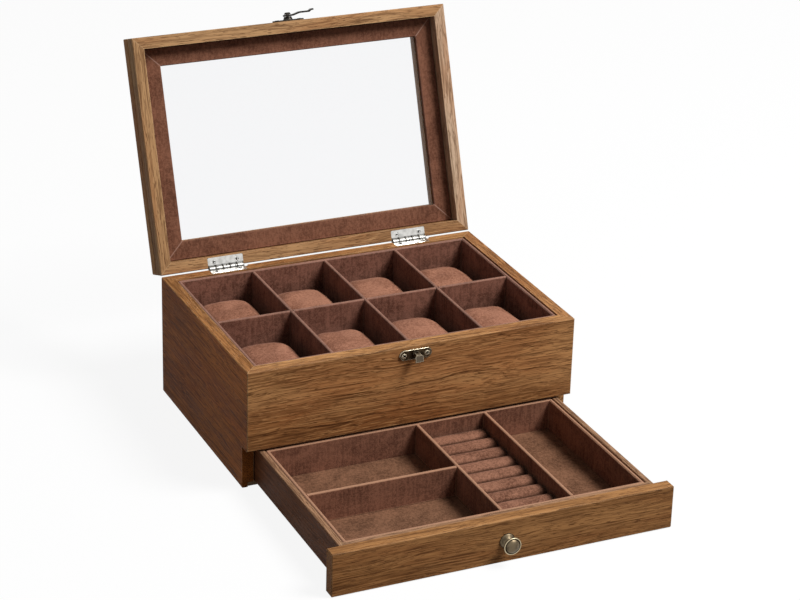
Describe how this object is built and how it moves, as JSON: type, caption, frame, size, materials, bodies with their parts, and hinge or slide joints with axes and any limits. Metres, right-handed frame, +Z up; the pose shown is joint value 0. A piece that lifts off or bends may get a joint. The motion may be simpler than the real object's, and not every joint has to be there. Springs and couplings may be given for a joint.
{
  "type": "watch box with drawer",
  "caption": "Wooden box with a hinged, glazed lid over lined compartments with padded watch pillows, and a lined drawer with trays and ring rolls below",
  "frame": {"origin": "centre of the case's footprint, on the surface it stands on", "axes": "+X right seen from the front, -Y out of the front face towards the user, +Z up"},
  "size_m": [0.29, 0.4795, 0.3043],
  "materials": {
    "case_wood": "dark brown stained wood, satin lacquer",
    "drawer_wood": "dark stained wood, satin",
    "thin_board": "plain thin board",
    "lining_velvet": "brown short-pile velvet over card",
    "pillow_velvet": "brown short-pile velvet over a soft filling",
    "lid_velvet": "brown short-pile velvet over card",
    "felt": "thin brown felt",
    "glass": "clear plain glass",
    "nickel": "bright nickel plate",
    "antique_brass": "brushed antique brass",
    "dark_bronze": "dark bronzed metal with worn edges"
  },
  "bodies": {
    "case": {"case_upper_front": "case_wood", "case_left_side": "case_wood", "case_right_side": "case_wood", "case_back": "case_wood", "deck_board": "thin_board", "bottom_board": "thin_board", "base_felt": "felt", "compartment_lining": "lining_velvet", "compartment_floor": "lining_velvet", "column_divider_left": "lining_velvet", "column_divider_middle": "lining_velvet", "column_divider_right": "lining_velvet", "row_divider": "lining_velvet", "hinge_case_leaf_left": "nickel", "hinge_case_leaf_right": "nickel", "hinge_case_screws": "nickel", "hinge_pins": "nickel", "catch_plate": "antique_brass", "catch_screws": "antique_brass"},
    "lid": {"lid_top_rail_front": "case_wood", "lid_top_rail_right": "case_wood", "lid_top_rail_back": "case_wood", "lid_top_rail_left": "case_wood", "lid_lip_front": "case_wood", "lid_lip_right": "case_wood", "lid_lip_back": "case_wood", "lid_lip_left": "case_wood", "lid_glass": "glass", "lid_velvet_frame": "lid_velvet", "hinge_lid_leaf_left": "nickel", "hinge_lid_leaf_right": "nickel", "hinge_lid_screws": "nickel", "latch_plate": "dark_bronze", "latch_rivet": "dark_bronze", "latch_screws": "dark_bronze"},
    "hook": {"latch_hook": "dark_bronze"},
    "drawer": {"drawer_front": "case_wood", "drawer_box_front": "drawer_wood", "drawer_left_side": "drawer_wood", "drawer_right_side": "drawer_wood", "drawer_back": "drawer_wood", "drawer_bottom": "thin_board", "drawer_lining": "lining_velvet", "drawer_floor": "lining_velvet", "drawer_divider_left": "lining_velvet", "drawer_divider_right": "lining_velvet", "drawer_cross_divider": "lining_velvet", "ring_rolls": "lining_velvet", "drawer_knob": "dark_bronze", "knob_screw": "dark_bronze"},
    "pillow_front_1": {"watch_pillow_front_1": "pillow_velvet"},
    "pillow_front_2": {"watch_pillow_front_2": "pillow_velvet"},
    "pillow_front_3": {"watch_pillow_front_3": "pillow_velvet"},
    "pillow_front_4": {"watch_pillow_front_4": "pillow_velvet"},
    "pillow_back_1": {"watch_pillow_back_1": "pillow_velvet"},
    "pillow_back_2": {"watch_pillow_back_2": "pillow_velvet"},
    "pillow_back_3": {"watch_pillow_back_3": "pillow_velvet"},
    "pillow_back_4": {"watch_pillow_back_4": "pillow_velvet"}
  },
  "joints": [
    {"name": "lid_hinge", "type": "hinge", "parent": "case", "child": "lid", "pos_m": [0, 0.1016, 0.1071], "axis": [1, 0, 0], "range_deg": [0, 109.5]},
    {"name": "hook_pivot", "type": "hinge", "parent": "lid", "child": "hook", "pos_m": [0, 0.17686, 0.29537], "axis": [0, 0.3338, 0.9426], "range_deg": [-90, 90]},
    {"name": "drawer_slide", "type": "slide", "parent": "case", "child": "drawer", "axis": [0, 1, 0], "range_m": [0, 0.1737]},
    {"name": "pillow_front_1_lift", "type": "slide", "parent": "case", "child": "pillow_front_1", "axis": [0, 0, 1], "range_m": [0, 0.025]},
    {"name": "pillow_front_2_lift", "type": "slide", "parent": "case", "child": "pillow_front_2", "axis": [0, 0, 1], "range_m": [0, 0.025]},
    {"name": "pillow_front_3_lift", "type": "slide", "parent": "case", "child": "pillow_front_3", "axis": [0, 0, 1], "range_m": [0, 0.025]},
    {"name": "pillow_front_4_lift", "type": "slide", "parent": "case", "child": "pillow_front_4", "axis": [0, 0, 1], "range_m": [0, 0.025]},
    {"name": "pillow_back_1_lift", "type": "slide", "parent": "case", "child": "pillow_back_1", "axis": [0, 0, 1], "range_m": [0, 0.025]},
    {"name": "pillow_back_2_lift", "type": "slide", "parent": "case", "child": "pillow_back_2", "axis": [0, 0, 1], "range_m": [0, 0.025]},
    {"name": "pillow_back_3_lift", "type": "slide", "parent": "case", "child": "pillow_back_3", "axis": [0, 0, 1], "range_m": [0, 0.025]},
    {"name": "pillow_back_4_lift", "type": "slide", "parent": "case", "child": "pillow_back_4", "axis": [0, 0, 1], "range_m": [0, 0.025]}
  ]
}
